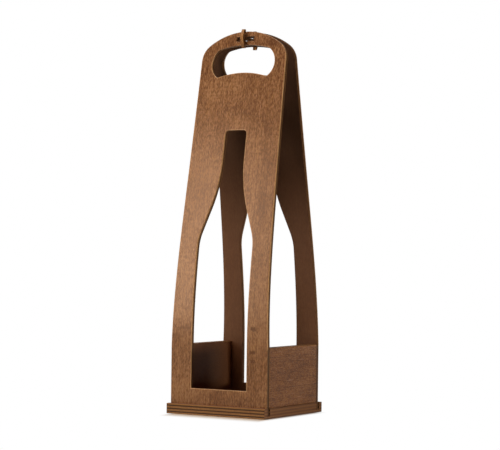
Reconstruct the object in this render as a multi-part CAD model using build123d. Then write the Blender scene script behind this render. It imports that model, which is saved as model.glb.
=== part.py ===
from build123d import *
import os
from math import cos, degrees, hypot, radians, sin, sqrt, tan

# A plywood carrier for one wine bottle, made of flat cut pieces.
# Two tall panels stand in open-ended grooves of a square base board, with two low walls between them.
# Above the walls the panels are sprung towards each other, and a turning key locks their tops together.
# Millimetres, +Z up. The origin is the middle of the base's underside, and the front panel faces -Y.

# Base board
base_side = 120.0
base_thickness = 10.8
groove_depth = 8.0
groove_clearance = 0.1

# Tall panels, front and rear alike
panel_thickness = 4.8
panel_setback = 6.2
panel_side_margin = 1.2
panel_height = 404.5
panel_waist_inset = 4.0
panel_waist_height_share = 0.546
panel_top_inset = 6.9
arch_radius = 75.0
arch_corner_radius = 20.0

# The bend that draws the panels together until this gap is left between them at the slots
gap_at_slots = 7.0
bend_length = 162.0
bend_steps = 4
first_lean_degrees = 5.0
lean_rounds = 8

# Low side walls, of thick sheet like the base, and flush with the panels' sides
wall_thickness = 10.8
wall_height = 61.6

# Bottle-shaped window in each panel, with the heights and radii of its bends as shares of its height
window_sill_rise = 16.6
window_drop_below_hole = 61.6
window_width = 67.6
window_neck_width = 26.4
window_corner_radius = 4.0
window_shoulder_share = 0.576
window_shoulder_radius_share = 0.184
window_neck_share = 0.791
window_neck_radius_share = 0.59

# Hand hole in each panel
hole_drop_below_slot = 4.2
hole_width = 77.2
hole_corner_width = 60.6
hole_crown_rise = 19.0
hole_top_corner_rise = 15.0
hole_floor_drop = 11.0
hole_low_corner_drop = 15.7
hole_top_corner_radius = 5.0
hole_low_corner_radius = 2.0

# Key and the slots that it turns in
slot_drop_below_top = 8.2
slot_end_clearance = 1.0
slot_turn_clearance = 0.17
slot_corner_radius = 0.6
key_thickness = 3.3
key_shank_width = 3.0
key_head_length = 20.0
key_head_depth = 6.2
key_tip_depth = 3.2
key_tip_radius = 1.0
key_clearance = 0.3

# How far each cutting tool runs past the face that it cuts
overrun = 5.0

# Places and sizes that several pieces share
wall_top = base_thickness + wall_height
panel_foot = base_thickness - groove_depth
panel_foot_width = base_side - 2 * panel_side_margin
panel_face_y = base_side / 2 - panel_setback
room_depth = 2 * (panel_face_y - panel_thickness)
slot_height = panel_height - slot_drop_below_top
slot_length = key_head_length + 2 * slot_end_clearance
slot_width = hypot(key_thickness, key_shank_width) + 2 * slot_turn_clearance


def make_base_board():
    """Square board with a groove across it for the foot of each panel."""
    board = Box(base_side, base_side, base_thickness, align=(Align.CENTER, Align.CENTER, Align.MIN))
    groove = Box(
        base_side + 2 * overrun,
        panel_thickness + 2 * groove_clearance,
        groove_depth + overrun,
        align=(Align.CENTER, Align.CENTER, Align.MIN),
    )
    groove_y = panel_face_y - panel_thickness / 2
    for side in (-1, 1):
        board -= Pos(0, side * groove_y, panel_foot) * groove
    return board


def make_wall(side):
    """Low wall that stands on the base and butts against both panels."""
    middle_x = panel_foot_width / 2 - wall_thickness / 2
    wall = Box(wall_thickness, room_depth, wall_height, align=(Align.CENTER, Align.CENTER, Align.MIN))
    return Pos(side * middle_x, 0, base_thickness) * wall


def bend_arcs(lean):
    """Turn and radius of each arc, tight above the walls and nearly straight at the end."""
    arcs = []
    for step in range(bend_steps):
        left_before = (1 - step / bend_steps) ** 2
        left_after = (1 - (step + 1) / bend_steps) ** 2
        turn = (left_before - left_after) * lean
        arcs.append((turn, bend_length / bend_steps / turn))
    return arcs


def panel_side_line(depth, lean):
    """The front panel's side view, as a line at one depth inside its outer face, from foot to past its top."""
    y = -panel_face_y + depth
    lines = [Line((y, panel_foot), (y, wall_top))]
    for turn, radius in bend_arcs(lean):
        lines.append(JernArc(lines[-1] @ 1, lines[-1] % 1, radius - depth, -degrees(turn)))
    last = lines[-1] @ 1
    straight = (panel_height - last.Y) / cos(lean) + overrun
    lines.append(Line(last, last + (lines[-1] % 1) * straight))
    return lines


def outer_face_y(height, lean):
    """Where the front panel's outer face lies at a height above the bend."""
    start = panel_side_line(0, lean)[-1] @ 0
    return start.X + (height - start.Y) * tan(lean)


def find_lean():
    """Angle at which the sprung panels leave the wanted gap between them at the slots."""
    lean = radians(first_lean_degrees)
    for _ in range(lean_rounds):
        wanted_shift = panel_face_y - gap_at_slots / 2 - panel_thickness / cos(lean)
        lean *= wanted_shift / (outer_face_y(slot_height, lean) + panel_face_y)
    return lean


lean = find_lean()
hole_crown_height = slot_height - slot_width / 2 - hole_drop_below_slot
hole_middle_height = hole_crown_height - hole_crown_rise * cos(lean)
window_sill = base_thickness + window_sill_rise
window_top = hole_middle_height - hole_floor_drop * cos(lean) - window_drop_below_hole


def make_sprung_sheet():
    """Sheet of even thickness, straight beside the walls and bent above them."""
    outer = panel_side_line(0, lean)
    inner = panel_side_line(panel_thickness, lean)
    foot = Line(outer[0] @ 0, inner[0] @ 0)
    top = Line(outer[-1] @ 1, inner[-1] @ 1)
    side_view = make_face([*outer, *inner, foot, top])
    return extrude(Plane.YZ * side_view, amount=panel_foot_width / 2 + overrun, both=True)


def panel_outline():
    """Panel seen from the front: gently hollow sides and an arched top with rounded corners."""
    foot_x = panel_foot_width / 2
    waist_x = foot_x - panel_waist_inset
    waist_z = panel_height * panel_waist_height_share
    corner_x = foot_x - panel_top_inset
    corner_z = panel_height - arch_radius + sqrt(arch_radius**2 - corner_x**2)
    outline = make_face(
        [
            Line((-foot_x, panel_foot), (foot_x, panel_foot)),
            Line((foot_x, panel_foot), (foot_x, wall_top)),
            ThreePointArc((foot_x, wall_top), (waist_x, waist_z), (corner_x, corner_z)),
            ThreePointArc((corner_x, corner_z), (0, panel_height), (-corner_x, corner_z)),
            ThreePointArc((-corner_x, corner_z), (-waist_x, waist_z), (-foot_x, wall_top)),
            Line((-foot_x, wall_top), (-foot_x, panel_foot)),
        ]
    )
    return fillet(outline.vertices().group_by(Axis.Y)[-1], arch_corner_radius)


def window_outline():
    """Window in the shape of a bottle, with shoulders that run out into a neck."""
    body_x = window_width / 2
    neck_x = window_neck_width / 2
    height = window_top - window_sill
    right_side = [
        (body_x, window_sill),
        (body_x, window_sill + height * window_shoulder_share),
        (neck_x, window_sill + height * window_neck_share),
        (neck_x, window_top),
    ]
    left_side = [(-x, z) for x, z in reversed(right_side)]
    window = make_face(Polyline(*right_side, *left_side, close=True))
    window = fillet(window.vertices().group_by(Axis.Y)[-1], window_corner_radius)
    window = fillet(window.vertices().group_by(Axis.Y)[2], height * window_neck_radius_share)
    return fillet(window.vertices().group_by(Axis.Y)[1], height * window_shoulder_radius_share)


def hand_hole_outline():
    """Hand hole about its own middle: crowned top and floor, and round ends."""
    end_x = hole_width / 2
    corner_x = hole_corner_width / 2
    top_right = (corner_x, hole_top_corner_rise)
    top_left = (-corner_x, hole_top_corner_rise)
    low_right = (corner_x, -hole_low_corner_drop)
    low_left = (-corner_x, -hole_low_corner_drop)
    hole = make_face(
        [
            ThreePointArc(top_left, (0, hole_crown_rise), top_right),
            ThreePointArc(top_right, (end_x, 0), low_right),
            ThreePointArc(low_right, (0, -hole_floor_drop), low_left),
            ThreePointArc(low_left, (-end_x, 0), top_left),
        ]
    )
    hole = fillet(hole.vertices().group_by(Axis.Y)[-1], hole_top_corner_radius)
    return fillet(hole.vertices().group_by(Axis.Y)[0], hole_low_corner_radius)


def make_front_panel():
    """Sprung panel with its window, its hand hole square to the leaning face, and its level key slot."""
    panel = make_sprung_sheet() & extrude(Plane.XZ * panel_outline(), amount=base_side, both=True)
    panel -= extrude(Plane.XZ * window_outline(), amount=base_side, both=True)
    hole_face = Plane(
        origin=(0, outer_face_y(hole_middle_height, lean), hole_middle_height),
        x_dir=(1, 0, 0),
        z_dir=(0, -cos(lean), sin(lean)),
    )
    panel -= extrude(hole_face * hand_hole_outline(), amount=panel_thickness + overrun, both=True)
    slot = Pos(0, slot_height) * RectangleRounded(slot_length, slot_width, slot_corner_radius)
    return panel - extrude(Plane.XZ * slot, amount=base_side, both=True)


def make_locking_key():
    """Flat I-shaped key: a thin shank with a bowed head outside each panel."""
    head_face = -outer_face_y(hole_crown_height, lean) + key_clearance
    half = key_head_length / 2
    low_tip = (head_face + key_tip_depth, -half)
    high_tip = (head_face + key_tip_depth, half)
    head = make_face(
        [
            Line((head_face, -half), low_tip),
            ThreePointArc(low_tip, (head_face + key_head_depth, 0), high_tip),
            Line(high_tip, (head_face, half)),
            Line((head_face, half), (head_face, -half)),
        ]
    )
    head = fillet(head.vertices().group_by(Axis.X)[-1], key_tip_radius)
    side_view = Rectangle(2 * head_face, key_shank_width) + head + mirror(head, about=Plane.YZ)
    key = extrude(Plane.YZ * side_view, amount=key_thickness / 2, both=True)
    return Pos(0, 0, slot_height) * key


front_panel = make_front_panel()
pieces = {
    "base_board": make_base_board(),
    "front_panel": front_panel,
    "rear_panel": mirror(front_panel, about=Plane.XZ),
    "left_wall": make_wall(-1),
    "right_wall": make_wall(1),
    "locking_key": make_locking_key(),
}

os.makedirs("parts", exist_ok=True)
for name, piece in pieces.items():
    piece.label = name
    export_step(piece, f"parts/{name}.step")
    box = piece.bounding_box()
    print(f"{name}: {piece.volume:.0f} mm3, {len(piece.faces())} faces, {box.min} to {box.max}")

print(f"lean {degrees(lean):.3f} degrees, slot {slot_length:.2f} by {slot_width:.2f} at {slot_height:.2f}")
print(f"hole crown {hole_crown_height:.2f} and middle {hole_middle_height:.2f}, window top {window_top:.2f}")
print(f"outer face at the slot {outer_face_y(slot_height, lean):.3f}")
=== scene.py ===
# %% [markdown]
# # A plywood carrier for one bottle
# Two tall panels stand in the grooves of a square base board, and two low walls close the sides between them.
# The panels are sprung towards each other above the walls, and a small turning key holds their tops together.
# The packed model gives every piece its place, so the first thing to do is to load it.

# %% Load the frame
from collections import namedtuple
from math import acos, asin, atan2, ceil, cos, inf, pi, radians, sin, sqrt, tan

import bmesh
import bpy
import numpy as np
from mathutils import Matrix, Vector
from mathutils.geometry import delaunay_2d_cdt
from mathutils.kdtree import KDTree


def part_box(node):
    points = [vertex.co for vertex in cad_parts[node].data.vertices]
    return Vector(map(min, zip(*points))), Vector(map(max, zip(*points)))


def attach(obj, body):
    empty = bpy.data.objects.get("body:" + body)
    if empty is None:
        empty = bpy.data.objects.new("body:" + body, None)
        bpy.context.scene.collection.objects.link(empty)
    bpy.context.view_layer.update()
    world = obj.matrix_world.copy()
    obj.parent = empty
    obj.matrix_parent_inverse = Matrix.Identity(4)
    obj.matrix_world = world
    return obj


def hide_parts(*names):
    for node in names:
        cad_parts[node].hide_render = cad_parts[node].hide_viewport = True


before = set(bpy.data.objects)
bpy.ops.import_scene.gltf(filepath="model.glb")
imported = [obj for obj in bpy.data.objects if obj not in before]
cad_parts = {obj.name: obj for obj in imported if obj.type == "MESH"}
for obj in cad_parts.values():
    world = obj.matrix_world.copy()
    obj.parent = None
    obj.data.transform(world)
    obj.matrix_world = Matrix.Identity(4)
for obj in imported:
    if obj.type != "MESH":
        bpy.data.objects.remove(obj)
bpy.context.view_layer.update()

mm = 0.001

# %% [markdown]
# ## Sizes
# A maker writes the main sizes on the bench before cutting anything. Those that the packed model can give
# are read from its boxes, so that the looks can't drift away from it. The rest are named in millimetres
# where a piece first needs them, and its points are worked out from the names.

# %% Read the main sizes
base_low, base_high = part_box("base_board")
panel_low, panel_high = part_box("front_panel")
wall_low, wall_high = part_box("right_wall")
key_low, key_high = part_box("locking_key")

panel_thickness = wall_low.y - panel_low.y
wall_top = wall_high.z
panel_top = panel_high.z
panel_face = panel_low.y
slot_height = (key_low.z + key_high.z) / 2
print(f"panels {panel_thickness / mm:.1f} mm thick and {panel_top / mm:.1f} mm high")

# %% [markdown]
# ## The bend
# The panels are cut flat. Beside the walls they stay upright, and above them they are bent inwards until
# the key can reach through both. A lattice or a curve modifier could bend a flat mesh, but neither
# follows a formula. Here the side view of the sheet's outer face is written down as it is in the part: a
# straight foot, four arcs that get flatter and flatter, and a straight top that leans. Each run keeps the
# place and lean that it starts with, and one function tells where the face is after any length along it.

# %% Side view of a sprung panel
Run = namedtuple("Run", "along y z lean radius")
bend_length = 162 * mm
bend_arcs = 4
full_lean = radians(9.619)


def further(run, length):
    """The same face, a length further along the run."""
    if run.radius == inf:
        y = run.y + length * sin(run.lean)
        z = run.z + length * cos(run.lean)
        return Run(run.along + length, y, z, run.lean, inf)
    lean = run.lean + length / run.radius
    y = run.y + run.radius * (cos(run.lean) - cos(lean))
    z = run.z + run.radius * (sin(lean) - sin(run.lean))
    return Run(run.along + length, y, z, lean, run.radius)


def side_view():
    """Start of each run of the front panel's outer face, from the floor upwards."""
    runs = [Run(0, panel_face, 0, 0, inf)]
    here = further(runs[0], wall_top)
    for step in range(bend_arcs):
        left_before = (1 - step / bend_arcs) ** 2
        left_after = (1 - (step + 1) / bend_arcs) ** 2
        turn = (left_before - left_after) * full_lean
        runs.append(here._replace(radius=bend_length / bend_arcs / turn))
        here = further(runs[-1], bend_length / bend_arcs)
    return [*runs, here._replace(radius=inf)]


face_runs = side_view()
print("lean at the start of each run:", [round(run.lean * 180 / pi, 1) for run in face_runs])

# %% [markdown]
# The drawing of a panel is measured in height as it is seen from the front, but the flat sheet is
# measured along its face. One function turns a height into a length along the sheet, and another puts a
# point of the flat sheet where the bend takes it. The cut edges stay square to the face, as they do on a
# sheet that is cut flat.

# %% From the flat sheet to the sprung one


def along_sheet(height):
    """Length along the outer face at which it reaches a height."""
    run = [r for r in face_runs if r.z <= height][-1]
    if run.radius == inf:
        return run.along + (height - run.z) / cos(run.lean)
    lean = asin(sin(run.lean) + (height - run.z) / run.radius)
    return run.along + run.radius * (lean - run.lean)


def sprung(across, along, depth):
    """Place of a point of the front panel's flat sheet, at a depth below its outer face."""
    run = [r for r in face_runs if r.along <= along][-1]
    face = further(run, along - run.along)
    return Vector((across, face.y + depth * cos(face.lean), face.z - depth * sin(face.lean)))


def sprung_rear(across, along, depth):
    """The rear panel is the front one seen in a mirror between them."""
    point = sprung(across, along, depth)
    return Vector((point.x, -point.y, point.z))


print(f"{panel_top / mm:.1f} mm of height take {along_sheet(panel_top) / mm:.1f} mm of sheet")

# %% [markdown]
# ## Drawing the outlines
# A cutting drawing is made of straight runs and arcs. Blender's curves could draw them, but plain points
# in code are easier to offset, and that is needed for the softened edges. The first helper gives the
# middle of the circle through three points, the second the points of an arc about a middle, and the third
# rounds the corners of a polygon. The last adds the mirror image of a right half.

# %% Arcs and rounded corners
chord = 2.4 * mm
finest_turn = radians(7)
on_centre_line = 0.01 * mm


def circle_through(a, b, c):
    """Middle of the circle through three points."""
    normal_b, normal_c = b - a, c - a
    double_area = 2 * normal_b.cross(normal_c)
    x = (normal_c.y * normal_b.length_squared - normal_b.y * normal_c.length_squared) / double_area
    y = (normal_b.x * normal_c.length_squared - normal_c.x * normal_b.length_squared) / double_area
    return a + Vector((x, y))


def arc(start, end, middle):
    """Points of the shorter arc from start to end about a middle, with both its ends."""
    first, last = start - middle, end - middle
    turn = atan2(first.cross(last), first.dot(last))
    steps = max(2, ceil(abs(turn) / finest_turn), ceil(abs(turn) * first.length / chord))
    points = []
    for step in range(steps + 1):
        angle = turn * step / steps
        swung = Matrix.Rotation(angle, 2) @ first
        points.append(middle + swung)
    return points


def rounded(corners):
    """Closed outline of a polygon whose corners are (point, radius)."""
    outline = []
    for index, (point, radius) in enumerate(corners):
        back = (corners[index - 1][0] - point).normalized()
        forward = (corners[(index + 1) % len(corners)][0] - point).normalized()
        if radius == 0:
            outline.append(point)
            continue
        half_angle = acos(back.dot(forward)) / 2
        reach = radius / tan(half_angle)
        middle = point + (back + forward).normalized() * radius / sin(half_angle)
        outline += arc(point + back * reach, point + forward * reach, middle)
    return outline


def mirrored(half):
    """Whole outline from its right half, which starts and ends on the centre line or beside it."""
    other = [Vector((-p.x, p.y)) for p in reversed(half) if abs(p.x) > on_centre_line]
    return [*half, *other]


print("an arc is cut into chords of at most", chord / mm, "mm")

# %% [markdown]
# ### The panel's own outline
# Seen from the front the panel has gently hollow sides and an arched top, and a round corner joins them.
# The round corner touches both, so its middle is one corner radius inside the side and as far inside the
# arch. Beside such a small corner the hollow side is as good as straight, which leaves one square root to
# solve.

# %% Panel outline
foot_half = panel_high.x
waist_half, waist_height = 54.8 * mm, 220.9 * mm
corner_half = 51.9 * mm
arch_radius = 75 * mm
arch_corner_radius = 20 * mm


def panel_outline():
    """Right half of the panel as height against width, from the foot to the crown, and its mirror."""
    foot = Vector((foot_half, panel_low.z))
    shoulder = Vector((foot_half, wall_top))
    waist = Vector((waist_half, waist_height))
    arch_middle = Vector((0, panel_top - arch_radius))
    corner = Vector((corner_half, arch_middle.y + sqrt(arch_radius**2 - corner_half**2)))
    side_middle = circle_through(shoulder, waist, corner)
    inward = (side_middle - corner).normalized() * -1
    upward = Vector((inward.y, -inward.x))
    start = corner + inward * arch_corner_radius - arch_middle
    lift = start.dot(upward)
    room = (arch_radius - arch_corner_radius) ** 2
    turn_middle = arch_middle + start + upward * (sqrt(lift**2 - start.length_squared + room) - lift)
    side_end = turn_middle - inward * arch_corner_radius
    arch_start = arch_middle + (turn_middle - arch_middle).normalized() * arch_radius
    side = arc(shoulder, side_end, side_middle)
    turn = arc(side_end, arch_start, turn_middle)
    arch = arc(arch_start, Vector((0, panel_top)), arch_middle)
    return mirrored([foot, *side, *turn[1:], *arch[1:]])


print(len(panel_outline()), "points round the panel")

# %% [markdown]
# ### The bottle window, the hand hole and the slot
# The window is a bottle's outline: a straight body, shoulders that run out in two wide bends, and a neck.
# The hand hole is drawn about its own middle, on the leaning part of the sheet, so the lean doesn't
# flatten it. The slot lets the key's head through when the key lies level.

# %% Openings in the panel
window_half, window_sill = 33.8 * mm, 27.4 * mm
neck_half, window_top = 13.2 * mm, 298.5 * mm
window_shoulder, window_neck = 183.6 * mm, 241.9 * mm
shoulder_radius, neck_radius, window_corner_radius = 49.9 * mm, 160 * mm, 4 * mm
hole_height, hole_end_half, hole_corner_half = 370.97 * mm, 38.6 * mm, 30.3 * mm
hole_crown, hole_top_corner = 19 * mm, 15 * mm
hole_floor, hole_low_corner = -11 * mm, -15.7 * mm
slot_half_length, slot_half_width, slot_radius = 11 * mm, 2.4 * mm, 0.6 * mm


def window_outline():
    """The bottle-shaped window as height against width."""
    right = [
        (Vector((window_half, window_sill)), 0),
        (Vector((window_half, window_shoulder)), shoulder_radius),
        (Vector((neck_half, window_neck)), neck_radius),
        (Vector((neck_half, window_top)), window_corner_radius),
    ]
    left = [(Vector((-point.x, point.y)), radius) for point, radius in reversed(right)]
    return rounded([*right, *left])


def hole_outline():
    """The hand hole about its own middle: four arcs, crowned above and below and round at the ends."""
    crown, end, low = Vector((0, hole_crown)), Vector((hole_end_half, 0)), Vector((0, hole_floor))
    top_corner = Vector((hole_corner_half, hole_top_corner))
    low_corner = Vector((hole_corner_half, hole_low_corner))
    to_left = Vector((-1, 1))
    above = circle_through(crown, top_corner, top_corner * to_left)
    beside = circle_through(top_corner, end, low_corner)
    below = circle_through(low, low_corner, low_corner * to_left)
    half = arc(crown, top_corner, above)
    half += arc(top_corner, low_corner, beside)[1:]
    half += arc(low_corner, low, below)[1:]
    return mirrored(half)


def slot_outline():
    """The level slot, as height against width."""
    corners = []
    for x, z in ((1, -1), (1, 1), (-1, 1), (-1, -1)):
        corners.append((Vector((x * slot_half_length, slot_height + z * slot_half_width)), slot_radius))
    return rounded(corners)


print(len(window_outline()), "points round the window,", len(hole_outline()), "round the hand hole")

# %% [markdown]
# ## From an outline to a sheet of plywood
# A solid could be extruded from each outline and beveled with a modifier, but then the plies would only
# be paint. Instead the cut edge is laid round every outline ring by ring: over the softened arris, down
# past each glue line, which stands back a hair, and over the other arris. To set a ring back from the
# outline, each of its points moves along the mitre of its two neighbouring runs. A long run gets extra
# points for this, the first of them clear of the corner, so that the flat face beside the edge stays
# flat.

# %% Rings of the cut edge
arris = 0.4 * mm
arris_bend = 0.3
rim = 1.3 * mm
glue_sink = 0.09 * mm
glue_half_width = 0.13 * mm
cross_ply_sink = 0.05 * mm
clear = 2 * rim
long_run = 2.5 * clear
usual_run = 4 * mm


def edge_rings(plies):
    """(set back, depth) of each ring from the front face to the back face."""
    bend = arris * arris_bend
    rings = [(rim, 0), (arris, 0), (bend, bend), (0, arris)]
    depth = 0
    for number, ply in enumerate(plies[:-1]):
        sunk = [0, cross_ply_sink] if number % 2 == 0 else [cross_ply_sink, 0]
        depth += ply
        rings += [(sunk[0], depth - glue_half_width), (glue_sink, depth), (sunk[1], depth + glue_half_width)]
    back = sum(plies)
    return rings + [(0, back - arris), (bend, back - bend), (arris, back), (rim, back)]


def divided(outline):
    """The outline with extra points on its long runs, the first of them close to each corner."""
    points = []
    for start, end in zip(outline, [*outline[1:], outline[0]]):
        points.append(start)
        length = (end - start).length
        if length > long_run:
            inner = length - 2 * clear
            steps = max(1, ceil(inner / usual_run))
            places = [clear + inner * step / steps for step in range(steps + 1)]
            points += [start.lerp(end, place / length) for place in places]
    return points


def mitres(outline):
    """Direction, out of the wood, in which each point moves when the outline grows by one."""
    result = []
    for before, here, after in zip([outline[-1], *outline[:-1]], outline, [*outline[1:], outline[0]]):
        first, second = (here - before).normalized(), (after - here).normalized()
        normals = Vector((first.y, -first.x)), Vector((second.y, -second.x))
        result.append((normals[0] + normals[1]) / (1 + normals[0].dot(normals[1])))
    return result


print(len(edge_rings([2 * mm] * 3)), "rings down the edge of a sheet of three plies")

# %% [markdown]
# The flat faces are filled with triangles between the outlines. A constrained Delaunay fill makes even
# ones and keeps the outlines as they are. A loose grid of points inside gives the bend something to bend.

# %% Fill a face
grid = 4 * mm
free_of_border = 0.6 * grid
merging = 1e-7
least_flatness = 1e-4


def inside(point, loops):
    """True where a point lies in the wood, by counting the outline runs to its right."""
    crossings = 0
    for loop in loops:
        y, x = loop[:, 1], loop[:, 0]
        next_y, next_x = np.roll(y, -1), np.roll(x, -1)
        spans = (y > point[1]) != (next_y > point[1])
        with np.errstate(divide="ignore", invalid="ignore"):
            cut = x + (point[1] - y) * (next_x - x) / (next_y - y)
        crossings += np.count_nonzero(spans & (point[0] < cut))
    return crossings % 2 == 1


def fill(loops):
    """Points inside the wood, and triangles between the loops' points and them."""
    arrays = [np.array([tuple(p) for p in loop]) for loop in loops]
    border = [Vector(p) for loop in arrays for p in loop]
    tree = KDTree(len(border))
    for index, point in enumerate(border):
        tree.insert((point.x, point.y, 0), index)
    tree.balance()
    low, high = arrays[0].min(axis=0), arrays[0].max(axis=0)
    inner = []
    for row, y in enumerate(np.arange(low[1] + grid / 2, high[1], grid)):
        for x in np.arange(low[0] + grid / 2 * (1 + row % 2), high[0], grid):
            if tree.find((x, y, 0))[2] > free_of_border and inside((x, y), arrays):
                inner.append(Vector((x, y)))
    edges = []
    for loop in arrays:
        first = len(edges)
        edges += [(first + k, first + (k + 1) % len(loop)) for k in range(len(loop))]
    points, _, triangles, _, _, _ = delaunay_2d_cdt([*border, *inner], edges, [], 1, merging)
    kept = []
    for triangle in triangles:
        a, b, c = (points[k] for k in triangle)
        longest = max((b - a).length_squared, (c - b).length_squared, (a - c).length_squared)
        if (b - a).cross(c - a) > longest * least_flatness and inside((a + b + c) / 3, arrays):
            kept.append(triangle)
    return inner, kept


print("the fill's grid is", grid / mm, "mm wide")

# %% [markdown]
# Now the sheet itself. Every point is put in place by the piece's own function, and it also remembers
# where it was on the flat board: across the grain, along the grain, and how many plies deep. The finish
# reads that later, so grain follows the bend and plies stay plies. Each face also notes whether it is cut
# through the plies and how far it faces along the grain, because end grain drinks more stain than long
# grain does.

# %% Notes and rings of a sheet


def ply_number(depth, plies):
    """How many plies deep a point lies."""
    edges = np.concatenate([[0], np.cumsum(plies)])
    return float(np.interp(depth, edges, range(len(edges))))


def note(mesh, name, kind, domain, values):
    """Writes one value for each point or face into the mesh."""
    layer = mesh.attributes.new(name, kind, domain)
    part = "vector" if kind == "FLOAT_VECTOR" else "value"
    layer.data.foreach_set(part, np.array(values, np.float32).ravel())


def wound(outlines):
    """The outlines with points enough: the outer one runs one way and the holes the other."""
    loops = []
    for number, outline in enumerate(outlines):
        loop = divided(outline)
        area = sum(a.cross(b) for a, b in zip(loop, [*loop[1:], loop[0]]))
        if (area > 0) != (number == 0):
            loop.reverse()
        loops.append(loop)
    return loops


def edge_faces(loops, ring_count):
    """Faces between each ring and the next, down every outline."""
    ring_size = sum(len(loop) for loop in loops)
    faces = []
    first = 0
    for loop in loops:
        for ring in range(ring_count - 1):
            for k in range(len(loop)):
                near = ring * ring_size + first + k
                beside = ring * ring_size + first + (k + 1) % len(loop)
                faces.append([near, near + ring_size, beside + ring_size, beside])
        first += len(loop)
    return faces


print("one square outline with four rings has", len(edge_faces([range(4)], 4)), "edge faces")

# %% [markdown]
# The rings come first in the mesh, one after another, and the loose points of the two flat faces follow.
# The same triangles serve for both flat faces, the second time the other way round and with their numbers
# moved to the last ring. A hole in level_holes is cut level through the leaning sheet, so its outline
# climbs as it goes deeper. Its edges are fresh: nothing rubs them.

# %% Sheet of plywood


def sheet(name, outline, holes, rings, place, board, level_holes=()):
    """A piece of plywood: outlines in the flat, rings down its edges, and where its points go."""
    loops = wound([outline, *holes])
    outward = [mitres(loop) for loop in loops]
    ring_size = sum(len(loop) for loop in loops)
    flat, fresh = [], []
    for set_back, depth in rings:
        for number, (loop, out) in enumerate(zip(loops, outward)):
            rise = depth * tan(full_lean) if number in level_holes else 0
            flat += [(p.x - m.x * set_back, p.y - m.y * set_back + rise, depth) for p, m in zip(loop, out)]
            fresh += [number in level_holes] * len(loop)
    faces = edge_faces(loops, len(rings))
    drawn = [[p - m * rings[0][0] for p, m in zip(loop, out)] for loop, out in zip(loops, outward)]
    inner, triangles = fill(drawn)
    inner_start = []
    for depth in (rings[0][1], rings[-1][1]):
        inner_start.append(len(flat))
        flat += [(p.x, p.y, depth) for p in inner]
    last_ring = (len(rings) - 1) * ring_size
    for triangle in triangles:
        front = [k if k < ring_size else k - ring_size + inner_start[0] for k in triangle]
        back = [k + last_ring if k < ring_size else k - ring_size + inner_start[1] for k in triangle]
        faces += [front, back[::-1]]
    mesh = bpy.data.meshes.new(name)
    mesh.from_pydata([place(*point) for point in flat], [], faces)
    remembered = np.array([board(*point) for point in flat])
    note(mesh, "board", "FLOAT_VECTOR", "POINT", remembered)
    note_cuts(mesh, remembered, fresh)
    return finish_mesh(name, mesh)


print(f"a level hole climbs {tan(full_lean):.2f} mm along the sheet in each mm of depth")

# %% [markdown]
# A face is cut through the plies when, on the flat board, it doesn't face up or down. The plies are
# counted, not measured, so a ply is first taken as about two millimetres. The arris is whatever lies
# between the two, and its points carry the wear that a hand or a shelf gives an edge, unless they are
# fresh.

# %% Note the cuts and the worn edges
usual_ply = 2 * mm
cut_below = 0.7
arris_tilts = (0.2, 0.98)
no_length = 1e-20
corner_angle = radians(50)


def note_cuts(mesh, remembered, fresh):
    """Marks faces that cut the plies, how far they show end grain, and the points on worn edges."""
    scaled = remembered * (1, 1, usual_ply)
    cut, end = [], []
    worn = np.zeros(len(mesh.vertices))
    for face in mesh.polygons:
        corners = scaled[list(face.vertices)]
        normal = np.zeros(3)
        for a, b in zip(corners, np.roll(corners, -1, axis=0)):
            normal += np.cross(a, b)
        normal /= max(np.linalg.norm(normal), no_length)
        cut.append(1.0 if abs(normal[2]) < cut_below else 0.0)
        end.append(abs(normal[1]))
        if arris_tilts[0] < abs(normal[2]) < arris_tilts[1]:
            worn[list(face.vertices)] = 1
    worn[:len(fresh)][fresh] = 0
    note(mesh, "cut", "FLOAT", "FACE", cut)
    note(mesh, "end_grain", "FLOAT", "FACE", end)
    note(mesh, "worn", "FLOAT", "POINT", worn)


def finish_mesh(name, mesh):
    """Turns all faces outwards, shades them smooth up to real corners, and links the piece."""
    work = bmesh.new()
    work.from_mesh(mesh)
    bmesh.ops.recalc_face_normals(work, faces=work.faces)
    work.to_mesh(mesh)
    work.free()
    mesh.shade_smooth()
    mesh.set_sharp_from_angle(angle=corner_angle)
    piece = bpy.data.objects.new(name, mesh)
    bpy.context.scene.collection.objects.link(piece)
    weighted = piece.modifiers.new("flat_faces_stay_flat", "WEIGHTED_NORMAL")
    weighted.keep_sharp = True
    print(f"{name}: {len(mesh.vertices)} points, {len(mesh.polygons)} faces")
    return piece


# %% [markdown]
# ## The two panels
# Front and rear are cut from the same drawing. Each comes from another part of the board, so their grain
# differs. The slots are the one thing cut level instead of square to the face, so that the key passes
# straight through.

# %% Cut and spring the panels
panel_plies = [panel_thickness / 3] * 3


def flat_outline(outline):
    """An outline drawn by height, measured along the sheet instead."""
    return [Vector((p.x, along_sheet(p.y))) for p in outline]


def panel(name, place, board_shift):
    """One sprung panel, with the slot as its last opening; board_shift says where on the board it was cut."""
    hole_middle = Vector((0, along_sheet(hole_height)))
    hand_hole = [p + hole_middle for p in hole_outline()]
    openings = [flat_outline(window_outline()), hand_hole, flat_outline(slot_outline())]

    def board(across, along, depth):
        return across + board_shift[0], along + board_shift[1], ply_number(depth, panel_plies)

    rings = edge_rings(panel_plies)
    outline = flat_outline(panel_outline())
    return sheet(name, outline, openings, rings, place, board, level_holes={len(openings)})


front = panel("front_sprung_panel", sprung, (0, 0))
rear = panel("rear_sprung_panel", sprung_rear, (0.7, 2.0))

# %% [markdown]
# ## The low walls
# Two plain boards stand between the panels, flush with their sides. Their grain runs level, from panel to
# panel. They and the base are of a thicker sheet with seven plies. Its cross plies are thinner than its
# long ones.

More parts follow.
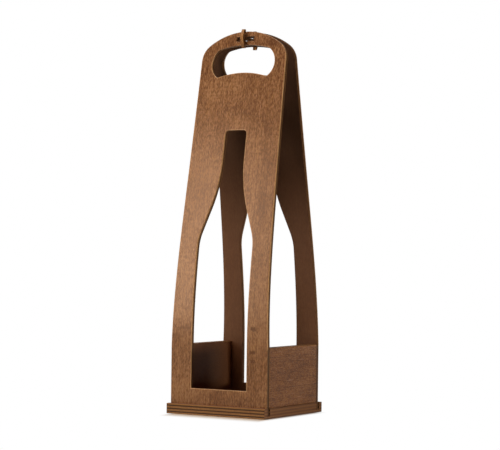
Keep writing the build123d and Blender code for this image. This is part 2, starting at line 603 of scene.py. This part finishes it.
# %% Cut the walls
thick_sheet = wall_high.x - wall_low.x
cross_ply = 1.2 * mm
long_ply = 2.0 * mm
face_ply = (thick_sheet - 3 * cross_ply - 2 * long_ply) / 2
thick_plies = [face_ply, *[cross_ply, long_ply] * 2, cross_ply, face_ply]


def wall(name, node, board_shift):
    """A wall board in its node's place, its front face turned outwards."""
    low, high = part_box(node)
    out = 1 if low.x > 0 else -1
    face_x = high.x if out > 0 else low.x

    def place(y, z, depth):
        return Vector((face_x - out * depth, y, z))

    def board(y, z, depth):
        return z + board_shift[0], y + board_shift[1], ply_number(depth, thick_plies)

    corners = (low.y, low.z), (high.y, low.z), (high.y, high.z), (low.y, high.z)
    outline = [Vector(corner) for corner in corners]
    return sheet(name, outline, [], edge_rings(thick_plies), place, board)


left_board = wall("left_low_wall", "left_wall", (2.3, 0.06))
right_board = wall("right_low_wall", "right_wall", (3.1, 1.06))

# %% [markdown]
# ## The base board
# A groove runs across the base under each panel. Cutting the grooves with a boolean would lose the notes
# on the points. It is easier to draw the board from its end, with both grooves in the outline and the
# glue lines as tiny notches down its long edges, and to stretch that along the grain.

# %% Cut the base board
groove_floor = panel_low.z
groove_clearance = 0.1 * mm
groove_near = -panel_face + groove_clearance
groove_far = -panel_face - panel_thickness - groove_clearance
groove_mouth_radius = 0.5 * mm
base_corner_radius = 0.6 * mm
base_arris = 0.3 * mm
base_shift = (5.3, 1.01)


def base_outline():
    """Right half of the board's end, from the middle of its underside to the middle of its top."""
    side, top = base_high.y, base_high.z
    half = [(Vector((0, 0)), 0), (Vector((side, 0)), base_corner_radius)]
    height = 0
    for ply in thick_plies[:-1]:
        height += ply
        for set_back, step in ((0, -1), (glue_sink, 0), (0, 1)):
            half.append((Vector((side - set_back, height + step * glue_half_width)), 0))
    half.append((Vector((side, top)), base_corner_radius))
    groove = (groove_near, top), (groove_near, groove_floor), (groove_far, groove_floor), (groove_far, top)
    for y, z in groove:
        half.append((Vector((y, z)), groove_mouth_radius if z == top else 0))
    half.append((Vector((0, top)), 0))
    other = [(Vector((-point.x, point.y)), radius) for point, radius in reversed(half[1:-1])]
    return rounded([*half, *other])


def make_base():
    """The board's end outline, stretched from one side to the other."""
    length = base_high.x - base_low.x
    bend = base_arris * arris_bend
    rings = [(base_arris, 0), (bend, bend), (0, base_arris)]
    rings += [(set_back, length - depth) for set_back, depth in reversed(rings)]

    def place(y, z, depth):
        return Vector((base_low.x + depth, y, z))

    def board(y, z, depth):
        return y + base_shift[0], depth + base_shift[1], ply_number(z, thick_plies)

    return sheet("grooved_base_board", base_outline(), [], rings, place, board)


base = make_base()

# %% [markdown]
# ## The key
# The key is a flat I of thinner plywood: a shank between two heads, each with a bowed outer edge. It is
# drawn from the side, so its plies stand side by side and show as stripes down the bowed edges. At rest
# its heads stand upright outside the arches of both panels, which keeps the panels' tops together and the
# key from slipping out.

# %% Cut the key
key_thickness = key_high.x - key_low.x
key_plies = [key_thickness / 3] * 3
key_reach = key_high.y
key_half_length = (key_high.z - key_low.z) / 2
shank_half = 1.5 * mm
head_face = 9.787 * mm
tip_depth = 3.2 * mm
tip_radius = 1.0 * mm
key_rim = 0.6 * mm
key_shift = (0.6, 4.1)


def key_outline():
    """Half of the key's side view about its own middle, as height against depth, and its mirror."""
    low_tip = Vector((head_face + tip_depth, -key_half_length))
    high_tip = Vector((head_face + tip_depth, key_half_length))
    bow_middle = circle_through(low_tip, Vector((key_reach, 0)), high_tip)
    bow = [(point, 0) for point in arc(low_tip, high_tip, bow_middle)]
    bow[0], bow[-1] = (low_tip, tip_radius), (high_tip, tip_radius)
    half = [(Vector((head_face, -shank_half)), 0), (Vector((head_face, -key_half_length)), 0), *bow]
    half += [(Vector((head_face, key_half_length)), 0), (Vector((head_face, shank_half)), 0)]
    other = [(Vector((-point.x, point.y)), radius) for point, radius in reversed(half)]
    return rounded([*half, *other])


def make_key():
    """The key in its place in the slots."""
    rings = [(min(set_back, key_rim), depth) for set_back, depth in edge_rings(key_plies)]

    def place(y, z, depth):
        return Vector((key_low.x + depth, y, z + slot_height))

    def board(y, z, depth):
        return y + key_shift[0], z + key_shift[1], ply_number(depth, key_plies)

    return sheet("turning_key", key_outline(), [], rings, place, board)


key = make_key()

# %% [markdown]
# ## Writing shader maths as sums
# A material in Blender is a net of nodes. Wired one by one, a sum of three noises takes a page. The class
# below wraps one socket and lets Python's own signs add the Math nodes. A plain number may stand on
# either side of a sign, so `1 - mask` works too.

# %% Shader maths


class Field:
    """A value that varies over a surface: one output socket that can stand in a Python sum."""

    def __init__(self, finish, socket):
        self.finish = finish
        self.socket = socket

    def maths(self, operation, *others):
        """A Math node with this field first."""
        return self.finish.node("ShaderNodeMath", {"operation": operation}, dict(enumerate((self, *others))))

    def __add__(self, other):
        return self.maths("ADD", other)

    def __mul__(self, other):
        return self.maths("MULTIPLY", other)

    def __sub__(self, other):
        return self.maths("SUBTRACT", other)

    def __rsub__(self, other):
        return self.finish.node("ShaderNodeMath", {"operation": "SUBTRACT"}, {0: other, 1: self})

    __radd__ = __add__
    __rmul__ = __mul__

    def ramp(self, low, high):
        """0 below low, 1 above high, and a smooth step between."""
        sockets = {"Value": self, "From Min": low, "From Max": high}
        return self.finish.node("ShaderNodeMapRange", {"interpolation_type": "SMOOTHSTEP"}, sockets)


print("methods of a field:", ", ".join(name for name, part in vars(Field).items() if callable(part)))

# %% [markdown]
# Every other node comes from one method of the finish that it belongs to. The settings are made first,
# because some of them change which sockets a node has. Then the sockets get their values or links.

# %% Nodes from one method


class Finish:
    """A material or world whose nodes are made by one method."""

    def __init__(self, owner):
        owner.use_nodes = True
        self.tree = owner.node_tree
        self.tree.nodes.clear()

    def node(self, kind, settings=None, sockets=None, output=0):
        """A node of a kind, with its settings made before its sockets are filled."""
        made = self.tree.nodes.new(kind)
        for name, value in (settings or {}).items():
            if name == "stops":
                set_stops(made.color_ramp, value)
            else:
                setattr(made, name, value)
        for name, value in (sockets or {}).items():
            socket = find_socket(made.inputs, name)
            if isinstance(value, Field):
                self.tree.links.new(value.socket, socket)
            elif socket.type == "RGBA":
                socket.default_value = (*value[:3], 1)
            else:
                socket.default_value = value
        if not made.outputs:
            return made
        return Field(self, find_socket(made.outputs, output))


def find_socket(sockets, name):
    """The socket of that name, or of that number among those in use."""
    used = [socket for socket in sockets if socket.enabled]
    return used[name] if isinstance(name, int) else next(s for s in used if s.name == name)


def set_stops(color_ramp, stops):
    """Gives a ramp its (place, colour) stops."""
    while len(color_ramp.elements) < len(stops):
        color_ramp.elements.new(0.5)
    for element, (place, colour) in zip(color_ramp.elements, stops):
        element.position = place
        element.color = (*colour, 1)


print("methods of a finish:", ", ".join(name for name, part in vars(Finish).items() if callable(part)))

# %% [markdown]
# Colours are written as they look on a screen, from 0 to 255, and turned into the light that Blender
# counts in.

# %% Colour helper


def seen(red, green, blue):
    """Colour in Blender's own measure, from its look on a screen."""
    result = []
    for value in (red / 255, green / 255, blue / 255):
        result.append(value / 12.92 if value <= 0.04045 else ((value + 0.055) / 1.055) ** 2.4)
    return tuple(result)


print("middle stain of the panels:", [round(value, 3) for value in seen(134, 85, 49)])

# %% [markdown]
# ## The stained plywood
# The carrier is birch plywood, stained brown and given a satin finish. A picture of wood could be laid
# over each piece, but it would break at every corner. Here the board is thought of as solid wood instead,
# and each point looks up its own place in it. The mesh carries that place in its note "board", so the
# grain runs along the board, bends with the sheet and meets the plies at the cut edges. The first helper
# reads the notes. Every ply gets its own layer number, because each was peeled from another part of the
# log.

# %% Where a point lies in the wood
Place = namedtuple("Place", "board across along deep layer cut end worn")
layer_step = 3.7


def read_board(finish):
    """The mesh's notes as fields: place on the board, plies deep, and cut, end grain and wear."""
    board = finish.node("ShaderNodeAttribute", {"attribute_name": "board"}, output="Vector")
    across, along, deep = (finish.node("ShaderNodeSeparateXYZ", {}, {0: board}, axis) for axis in "XYZ")
    cut, end, worn = (finish.node("ShaderNodeAttribute", {"attribute_name": name}, output="Fac")
                      for name in ("cut", "end_grain", "worn"))
    return Place(board, across, along, deep, deep.maths("FLOOR") * layer_step, cut, end, worn)


def stretched_noise(finish, across, along, layer, fineness, detail, roughness, distortion=0.0):
    """Noise of (width, length) grains per metre across and along the wood."""
    place = {0: across * fineness[0], 1: along * fineness[1], 2: layer}
    vector = finish.node("ShaderNodeCombineXYZ", {}, place)
    sockets = {"Vector": vector, "Scale": 1.0, "Detail": detail, "Roughness": roughness}
    return finish.node("ShaderNodeTexNoise", {}, {**sockets, "Distortion": distortion})


def vector_maths(finish, operation, first, second=(0, 0, 0), output="Vector"):
    """A Vector Math node."""
    return finish.node("ShaderNodeVectorMath", {"operation": operation}, {0: first, 1: second}, output)


def blend_colours(finish, factor, low, high, way="MIX"):
    """A Mix node for two colours."""
    settings = {"data_type": "RGBA", "blend_type": way}
    return finish.node("ShaderNodeMix", settings, {0: factor, 1: low, 2: high})


print("each point of the wood knows:", ", ".join(Place._fields))

# %% [markdown]
# ### Peeled birch
# Birch for plywood is peeled off the log in one long sheet. Its face has fine fibres, short darker
# flecks, a few long lines, a weak wide figure, small pores, and here and there a ripple across the grain.
# Each is a noise stretched along the grain by its own measure, so a table of their measures describes the
# wood. Adding them up gives one tone, from dark to light.

# %% Grain of the face veneer
Noise = namedtuple("Noise", "shift fineness detail roughness distortion", defaults=[0.0])
birch_noises = {
    "figure": Noise(0, (22, 3.5), 3, 0.5, 0.8),
    "fibre": Noise(0, (760, 45), 2, 0.6),
    "fleck": Noise(1.3, (1000, 300), 2, 0.6),
    "blotch": Noise(5.2, (45, 30), 3, 0.6),
    "line": Noise(8.3, (1100, 6), 1, 0.5),
    "ripple": Noise(7.4, (25, 330), 1, 0.5, 0.6),
    "pore": Noise(2.1, (1900, 420), 1, 0.5),
    "amber": Noise(9.1, (300, 50), 2, 0.5),
}
contrasts = {"figure": 0.35, "fibre": 0.7, "fleck": 1.7, "blotch": 0.6, "line": 0.5}
Grain = namedtuple("Grain", "tone fibre fleck blotch amber pores")


def birch_grain(finish, at):
    """Tone of a peeled face from 0 to 1, and the noises that the rest of the finish needs."""
    noises = {}
    for name, noise in birch_noises.items():
        layer = at.layer + noise.shift
        noises[name] = stretched_noise(finish, at.across, at.along, layer, *noise[1:])
    tone = 0.5
    for name, contrast in contrasts.items():
        tone = tone + (noises[name] - 0.5) * contrast
    blotch = noises["blotch"]
    tone = tone + (noises["ripple"] - 0.5) * blotch.ramp(0.5, 0.62) * 0.5
    pores = noises["pore"].ramp(0.6, 0.7) * 0.2
    return Grain(tone - pores, noises["fibre"], noises["fleck"], blotch, noises["amber"], pores)


print(len(birch_noises), "noises make the birch")

# %% [markdown]
# ### Knots and patches
# The outer faces have three pin knots low on the right and soft darker patches, and two lighter patches low
# on the legs are painted light. Painting them by hand would need a picture. An oval is enough: the distance
# from its middle, in ovals, is made ragged with the grain, and the tone sinks where that distance is small. A
# light patch is a mark with a strength below zero. Places and sizes are metres across and along the board.
# The oval is one ply deep, so the inner faces don't show it.

# %% Marks on the outer faces
Mark = namedtuple("Mark", "place size strength")


def darkened(finish, at, grain, marks):
    """How much the marks take off the tone."""
    total = 0.0
    for mark in marks:
        offset = vector_maths(finish, "SUBTRACT", at.board, (*mark.place, 0))
        ovals = vector_maths(finish, "DIVIDE", offset, (*mark.size, 1))
        reach = finish.node("ShaderNodeVectorMath", {"operation": "LENGTH"}, {0: ovals}, output="Value")
        ragged = reach + (grain.fleck - 0.5) * 0.9 + (grain.blotch - 0.5) * 1.2
        total = total + (1 - ragged.ramp(0.3, 1.1)) * mark.strength
    return total


panel_marks_and_painted_light = [
    Mark((0.0415, 0.0912), (0.0052, 0.0030), 0.75),
    Mark((0.0405, 0.0674), (0.0046, 0.0024), 0.65),
    Mark((0.0415, 0.0585), (0.0030, 0.0020), 0.5),
    Mark((-0.043, 0.0910), (0.0090, 0.0028), 0.2),
    Mark((0.034, 0.3950), (0.0200, 0.0080), 0.24),
    Mark((0.046, 0.3760), (0.0060, 0.0140), 0.14),
    Mark((-0.006, 0.3270), (0.0200, 0.0100), 0.12),
    Mark((0.002, 0.3470), (0.0260, 0.0140), 0.08),
    Mark((0.012, 0.3180), (0.0120, 0.0060), 0.10),
    Mark((-0.012, 0.3960), (0.0240, 0.0100), 0.10),
    Mark((0.040, 0.2220), (0.0120, 0.0180), 0.12),
    # Painted light: the two lighter patches low on the legs.
    Mark((0.046, 0.0950), (0.0160, 0.0450), -0.16),
    Mark((-0.042, 0.0240), (0.0240, 0.0160), -0.18),
]
print(len(panel_marks_and_painted_light), "marks on a panel")

# %% [markdown]
# ### Colour of the faces
# Three stains, dark, middle and light, are laid along a ramp that the tone runs through, and an amber tint
# warms them in places. The inner faces were never rubbed down, and they carry painted shade: they are painted
# browner and darker, darkest low down beside the walls and in the narrow space at the top. The height on a
# panel is the place along its board without the whole metres that tell one panel's board from the other's.

# %% Stain of the faces
stain_places = (0.2, 0.5, 0.8)
amber_tint = (0.95, 0.88, 0.55)
inner_shade_brown = seen(104, 55, 25)
below_joint, above_joint = 40 * mm, 20 * mm
top_shade_heights = (0.15, 0.29)


def stained_face(finish, grain, tone, stain):
    """The three stains by tone, warmed by amber."""
    veneer = finish.node("ShaderNodeValToRGB", {"stops": list(zip(stain_places, stain))}, {0: tone})
    return blend_colours(finish, grain.amber.ramp(0.45, 0.75) * 0.4, veneer, amber_tint, "MULTIPLY")


def inner_painted_shade(finish, veneer, up, joint_top):
    """Painted shade on an inner face: browner and darker by its height and by the top of the joint with a
    wall.
    """
    # Painted shade: darker low down beside the walls and high in the narrow space at the top.
    shade_beside_wall = 1 - up.ramp(joint_top - below_joint, joint_top + above_joint)
    shade = 0.88 - up.ramp(*top_shade_heights) * 0.53 - shade_beside_wall * 0.35
    brown = blend_colours(finish, 0.8, veneer, inner_shade_brown)
    return blend_colours(finish, shade, (0, 0, 0), brown)


print("inner brown:", [round(value, 3) for value in inner_shade_brown])

# %% [markdown]
# ### The cut edges
# On a cut edge every second ply shows end grain, which drinks the stain and turns dark, and the plies between
# stay light. Which of them are dark swaps where the edge runs across the board. Adding the two yes-or-no
# values and taking twice their product off does that. Fine saw marks roughen both, a glue line lies where the
# ply number is whole, and the edges of the panels against the walls are darker below the wall tops.

# %% Plies and glue lines
glue_brown = seen(38, 20, 9)
cut_places = (0.3, 0.7)
Cuts = namedtuple("Cuts", "long_grain end_grain end_face dark_plies")


def two_tones(finish, tones, factor):
    """From the first colour to the second."""
    return finish.node("ShaderNodeValToRGB", {"stops": list(zip(cut_places, tones))}, {0: factor})


def cut_edge(finish, at, saw, cuts, at_joint):
    """Colour of the cut edges: light and dark plies, the board's ends, glue lines and darker inner plies."""
    odd = (at.deep * 0.5).maths("FRACT").maths("GREATER_THAN", 0.5)
    turned = at.end + odd - 2 * at.end * odd
    streak = stretched_noise(finish, at.across, at.along, at.deep * 9, (60, 60), 2, 0.5)
    light = two_tones(finish, cuts.long_grain, streak * 0.5 + saw * 0.5)
    dark = two_tones(finish, cuts.end_grain, saw)
    edge = blend_colours(finish, turned, light, dark)
    edge = blend_colours(finish, at.end.ramp(0.1, 0.6) * 0.6, edge, cuts.end_face)
    whole = at.deep.maths("ROUND")
    off_line = (at.deep - whole).maths("ABSOLUTE")
    glue = (1 - off_line.ramp(0.03, 0.09)) * whole.maths("GREATER_THAN", 0.5)
    edge = blend_colours(finish, glue * (0.8 - at.end * 0.4), edge, glue_brown)
    edge = blend_colours(finish, at.deep.ramp(*cuts.dark_plies) * 0.75, edge, cuts.end_grain[0])
    return blend_colours(finish, at_joint * 0.7, edge, cuts.end_grain[0])


print("glue line:", [round(value, 3) for value in glue_brown])

# %% [markdown]
# ### The finish as a whole
# Faces and edges now come together. Hands and shelves rub the stain off the arrises, so the bare wood
# shows there a little, but not on inner faces, beside the walls or high on the arch, where the photograph
# shows none. Low roughness gives the satin sheen, and the cuts, the pores and the unrubbed inner faces
# are duller. Not every sheet has inner faces, dark plies or a joint. A ply number deeper than any sheet,
# or a joint lower than any foot, turns those off.

# %% Plywood
too_deep = 9
no_dark_plies = (too_deep - 1, too_deep)
inner_side = 1.5
no_joint = -1
joint_from, joint_to = -4 * mm, 2 * mm
joint_edge = (0.05, 0.056)
clean_arch = (0.38, 0.395)
duller_height = (0.17, 0.27)
satin_roughness = 0.22
gloss_level, gloss_tint = 0.9, (1.0, 0.62, 0.38)
bump_strength, bump_depth = 0.25, 0.15 * mm


def plywood(name, stain, cuts, marks=(), inner_from=too_deep, joint_top=no_joint):
    """Stained plywood: its stains, its cuts, its marks, where inner faces start, and the top of a joint."""
    wood = bpy.data.materials.new(name)
    finish = Finish(wood)
    at = read_board(finish)
    grain = birch_grain(finish, at)
    up = at.along.maths("FRACT")
    tone = grain.tone - darkened(finish, at, grain, marks)
    veneer = stained_face(finish, grain, tone, stain)
    inner_face = at.deep.maths("GREATER_THAN", inner_from)
    # Inner faces take painted shade instead of the plain stain.
    veneer = blend_colours(finish, inner_face, veneer, inner_painted_shade(finish, veneer, up, joint_top))

    low = 1 - up.ramp(joint_top + joint_from, joint_top + joint_to)
    at_joint = low * at.across.maths("ABSOLUTE").ramp(*joint_edge)
    rubbed = at.worn.maths("POWER", 5.0) * (0.4 + 0.9 * grain.fleck) * (1 - inner_face) * (1 - at_joint)
    rubbed = rubbed * (1 - at.end * 0.9) * (1 - up.ramp(*clean_arch) * 0.85)
    veneer = blend_colours(finish, rubbed, veneer, cuts.long_grain[1])
    saw = stretched_noise(finish, at.across + at.deep * usual_ply, at.along, at.deep, (900, 900), 2, 0.6)
    colour = blend_colours(finish, at.cut, veneer, cut_edge(finish, at, saw, cuts, at_joint))

    height = grain.fibre * 0.5 + grain.fleck * 0.3 - grain.pores * 2 + saw * at.cut * 0.5
    relief = {"Strength": bump_strength, "Distance": bump_depth, "Height": height}
    bump = finish.node("ShaderNodeBump", {}, relief)
    roughness = satin_roughness + grain.fibre * 0.08 + at.cut * 0.25 + grain.pores * 0.4
    roughness = roughness + inner_face * (0.24 + up.ramp(*duller_height) * 0.36)
    sockets = {"Base Color": colour, "Roughness": roughness, "Normal": bump,
               "Specular IOR Level": gloss_level, "Specular Tint": gloss_tint}
    surface = finish.node("ShaderNodeBsdfPrincipled", {}, sockets)
    finish.node("ShaderNodeOutputMaterial", {}, {"Surface": surface})
    return wood


print(f"satin faces start at a roughness of {satin_roughness}, with bumps of {bump_depth / mm:.2f} mm")

# %% [markdown]
# The thin sheet of the panels, the thick sheet of the walls and base, and the key are three woods. The
# thin one is the redder, with the lightest long plies. The thick one's edges are darker and more even,
# and the key's edges are almost bare. The base and the walls show no joint of their own, and the key has
# no inner face.

# %% Three woods
sheet_stain = [seen(98, 56, 28), seen(134, 85, 49), seen(164, 114, 72)]
sheet_cuts = Cuts(
    long_grain=(seen(134, 86, 40), seen(226, 172, 116)),
    end_grain=(seen(58, 30, 10), seen(92, 54, 22)),
    end_face=seen(96, 60, 32),
    dark_plies=(0.9, 2.0),
)
sheet_wood = plywood("stained_birch_sheet", sheet_stain, sheet_cuts, panel_marks_and_painted_light, inner_side, wall_top)

thick_stain = [seen(98, 54, 24), seen(134, 82, 43), seen(164, 110, 64)]
thick_cuts = Cuts(
    long_grain=(seen(124, 79, 38), seen(170, 116, 66)),
    end_grain=(seen(42, 20, 5), seen(68, 37, 12)),
    end_face=seen(144, 101, 74),
    dark_plies=no_dark_plies,
)
thick_wood = plywood("stained_birch_thick_sheet", thick_stain, thick_cuts, inner_from=inner_side)

key_stain = [seen(100, 66, 40), seen(128, 88, 56), seen(160, 112, 72)]
key_cuts = Cuts(
    long_grain=(seen(160, 96, 36), seen(214, 150, 84)),
    end_grain=(seen(90, 50, 18), seen(134, 84, 40)),
    end_face=seen(120, 76, 40),
    dark_plies=no_dark_plies,
)
key_wood = plywood("stained_birch_key", key_stain, key_cuts)
print("nodes in the panels' plywood:", len(sheet_wood.node_tree.nodes))

# %% [markdown]
# ## Pieces on their bodies
# Each piece takes the place of one part of the packed model and moves with that part's body.

# %% Dress the model
dressing = [
    (front, "caddy", "front_panel", "stained_plywood", sheet_wood),
    (rear, "caddy", "rear_panel", "stained_plywood", sheet_wood),
    (left_board, "caddy", "left_wall", "stained_plywood", thick_wood),
    (right_board, "caddy", "right_wall", "stained_plywood", thick_wood),
    (base, "caddy", "base_board", "stained_plywood", thick_wood),
    (key, "key", "locking_key", "key_plywood", key_wood),
]
for piece, body, node, slot, wood in dressing:
    piece.data.materials.append(wood)
    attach(piece, body)
    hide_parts(node)
print(len(dressing), "pieces dressed")

# %% [markdown]
# ## Floor and background
# The carrier stands on a plain white sweep. The floor is a real surface, so it takes the shadow and
# throws light back up. It lies a hair below the base, so the two never fight for the same place. Light
# Path decides what is brightened: what the camera sees of the sweep, and what the satin wood mirrors of
# the part behind the carrier. The light on the wood stays as the lamps give it.

# %% White floor
behind = (-0.52, 0.85, 0.0)


def shown_white(finish, direction):
    """1 for what the camera sees, and for what gloss and glass show of the sweep behind the carrier."""
    path = {name: finish.node("ShaderNodeLightPath", output=f"Is {name} Ray")
            for name in ("Camera", "Glossy", "Transmission")}
    sweep = vector_maths(finish, "DOT_PRODUCT", direction, behind, "Value")
    return path["Camera"] + (path["Glossy"] + path["Transmission"]) * sweep.ramp(0.7, 0.95)


floor_half = 6.0
floor_drop = 0.05 * mm
floor_mesh = bpy.data.meshes.new("white_floor")
corners = (-1, -1), (1, -1), (1, 1), (-1, 1)
floor_points = [(x * floor_half, y * floor_half, -floor_drop) for x, y in corners]
floor_mesh.from_pydata(floor_points, [], [(0, 1, 2, 3)])
floor = bpy.data.objects.new("white_floor", floor_mesh)
bpy.context.scene.collection.objects.link(floor)
print("floor:", 2 * floor_half, "m wide")

# %% [markdown]
# The paper is matt and light grey to the lamps. A few centimetres from the base, at its own distance on each
# side, what is shown of it turns to plain white, and there the floor meets the white behind. Closer in it
# stays matt and keeps the contact shadow, and what is shown of it is painted darker and a little brown: a
# painted shadow with painted warm light from the wood.

# %% White paper
shadow_right = (0.0575, 0.07)
shadow_left = (0.066, 0.0785)
shadow_back = (0.04, 0.058)
shadow_front = (0.062, 0.093)
skew_left = 0.3
paper_grey = (0.7, 0.7, 0.7)
# Painted shadow: the paper near the base is shown darker and a little brown.
shown_shadow = (0.7, 0.55, 0.41)

white_paper = bpy.data.materials.new("white_paper")
paper = Finish(white_paper)
spot = paper.node("ShaderNodeNewGeometry", output="Position")
shown = shown_white(paper, spot)
near_colour = blend_colours(paper, shown, paper_grey, shown_shadow)
matt = paper.node("ShaderNodeBsdfDiffuse", {}, {"Color": near_colour})
to_right, to_back = (paper.node("ShaderNodeSeparateXYZ", {}, {0: spot}, axis) for axis in "XY")
to_left = to_right * -1 - to_back * skew_left
beyond = to_right.ramp(*shadow_right)
for way, reach in ((to_left, shadow_left), (to_back, shadow_back), (to_back * -1, shadow_front)):
    beyond = beyond.maths("MAXIMUM", way.ramp(*reach))
bright = paper.node("ShaderNodeEmission", {}, {"Color": (1, 1, 1), "Strength": 1.0})
surface = paper.node("ShaderNodeMixShader", {}, {0: beyond * shown, 1: matt, 2: bright})
paper.node("ShaderNodeOutputMaterial", {}, {"Surface": surface})
floor_mesh.materials.append(white_paper)
print("nodes in the paper:", len(white_paper.node_tree.nodes))

# %% [markdown]
# The world does the same with the rest of the sweep: plain white where it is shown, and almost dark as a
# light, so that only the lamps and the floor model the wood.

# %% White world
world = bpy.data.worlds.new("white_room")
bpy.context.scene.world = world
room = Finish(world)
fill_light = 0.02
shown = shown_white(room, room.node("ShaderNodeTexCoord", output="Generated"))
glow = fill_light + shown * (1 - fill_light)
background = room.node("ShaderNodeBackground", {}, {"Color": (1, 1, 1), "Strength": glow})
room.node("ShaderNodeOutputWorld", {}, {"Surface": background})
print("fill light:", fill_light)

# %% [markdown]
# ## Lamps
# A large soft lamp hangs high in front and to the left. It grazes the upright faces and lights the
# leaning ones more, which is what makes the bend show. A smaller one, lower down, is mirrored in the
# leaning faces as a soft sheen. A long, warm one stands low on the right and reaches the right wall and
# the cut edges, which the first two miss. The brightness of each is given as its glow, and the lamp's
# power follows from its size.

# %% Soft lamps
middle = Vector((0, 0, panel_top / 2))
warm = (1.0, 0.88, 0.7)


def soft_lamp(name, azimuth, elevation, distance, size, glow, tint=(1, 1, 1)):
    """A rectangular lamp that looks at the middle, from an azimuth counted from the front to the right."""
    light = bpy.data.lights.new(name, "AREA")
    light.shape = "RECTANGLE"
    light.size, light.size_y = size
    light.energy = glow * pi * size[0] * size[1]
    light.color = tint
    lamp = bpy.data.objects.new(name, light)
    bpy.context.scene.collection.objects.link(lamp)
    turn, rise = radians(azimuth), radians(elevation)
    back = Vector((sin(turn) * cos(rise), -cos(turn) * cos(rise), sin(rise)))
    lamp.location = middle + back * distance
    lamp.rotation_mode = "QUATERNION"
    lamp.rotation_quaternion = back.to_track_quat("Z", "Y")
    print(f"{name}: {light.energy:.1f} W")


soft_lamp("high_lamp", azimuth=-20, elevation=60, distance=1.5, size=(1.0, 1.0), glow=6.6)
soft_lamp("sheen_lamp", azimuth=-34, elevation=9, distance=0.92, size=(0.2, 0.47), glow=5.1)
soft_lamp("side_lamp", azimuth=108, elevation=-2, distance=1.5, size=(0.9, 0.2), glow=11.6, tint=warm)

# %% [markdown]
# ## Camera
# The photograph was taken from a little above the walls, to the right of the front, with a long lens. Its
# place was worked out from the corners of the base and the edges of the panels. It looks a touch upwards,
# and it is tilted by less than a degree.

# %% Camera
image_width = 500
focal_pixels = 1852.5
distance, sideways, eye_height = 1.9697, 0.003, 0.1743
turn = radians(31.2)
rise = radians(0.723)
tilt = radians(0.712)
ahead = Vector((-sin(turn), cos(turn), 0))
beside = Vector((cos(turn), sin(turn), 0))
place = ahead * -distance + beside * sideways + Vector((0, 0, eye_height))
looking = ahead * cos(rise) + Vector((0, 0, sin(rise)))
upright = beside.cross(looking)
right = beside * cos(tilt) + upright * sin(tilt)
up = upright * cos(tilt) - beside * sin(tilt)

view = bpy.data.cameras.new("view")
view.sensor_width = 36
view.lens = focal_pixels / image_width * view.sensor_width
view.clip_end = 50
camera = bpy.data.objects.new("view", view)
bpy.context.scene.collection.objects.link(camera)
camera.matrix_world = Matrix((right, up, -looking)).transposed().to_4x4()
camera.location = place
bpy.context.scene.camera = camera
bpy.context.scene.view_settings.view_transform = "Standard"
print(f"lens {view.lens:.1f} mm at {place.length:.2f} m")

# %% [markdown]
